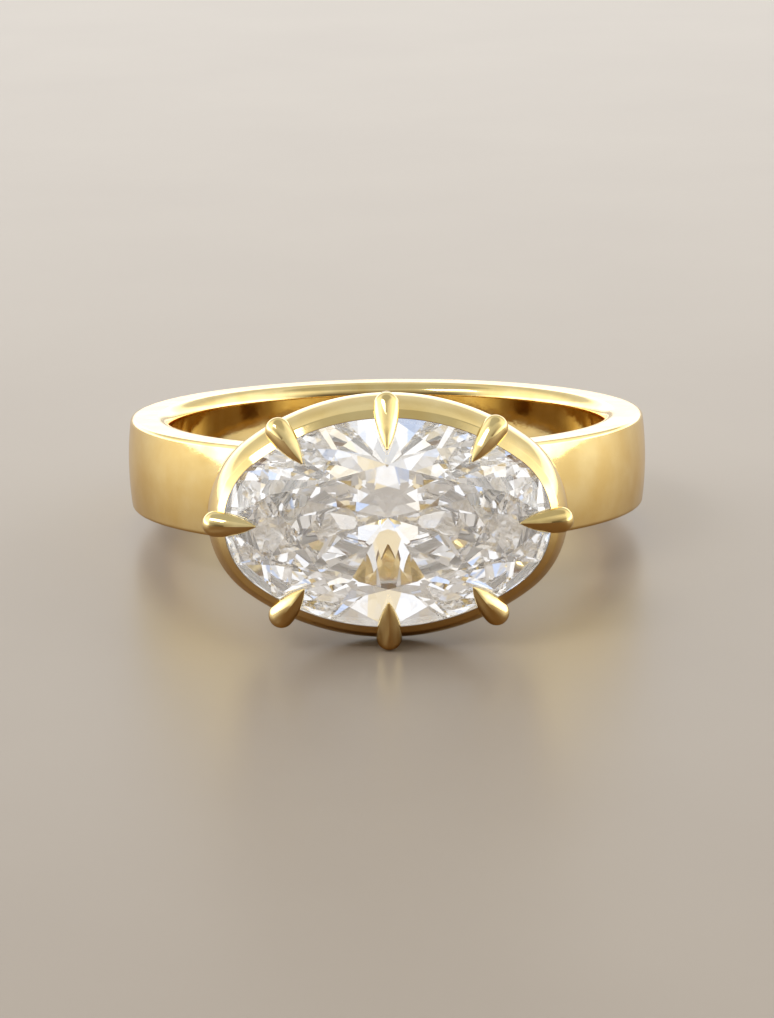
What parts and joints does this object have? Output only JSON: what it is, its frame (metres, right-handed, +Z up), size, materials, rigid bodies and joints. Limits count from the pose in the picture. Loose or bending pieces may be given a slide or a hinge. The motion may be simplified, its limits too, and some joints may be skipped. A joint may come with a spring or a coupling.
{
  "type": "oval diamond ring",
  "caption": "Yellow gold finger ring with an oval faceted stone set across the finger in a domed bezel cup with talon claws, lying on its side.",
  "frame": {"origin": "middle of the box's base, on the surface that the ring lies on", "axes": "+Z up from the surface, +Y from the stone's table back through the ring, +X along the stone's length"},
  "size_m": [0.0202, 0.0262, 0.009],
  "materials": {
    "gold": "mirror-polished 18-carat yellow gold with fine wear scratches",
    "diamond": "polished facets, colourless"
  },
  "bodies": {
    "root": {"band_and_setting": "gold", "stone": "diamond"}
  },
  "joints": []
}
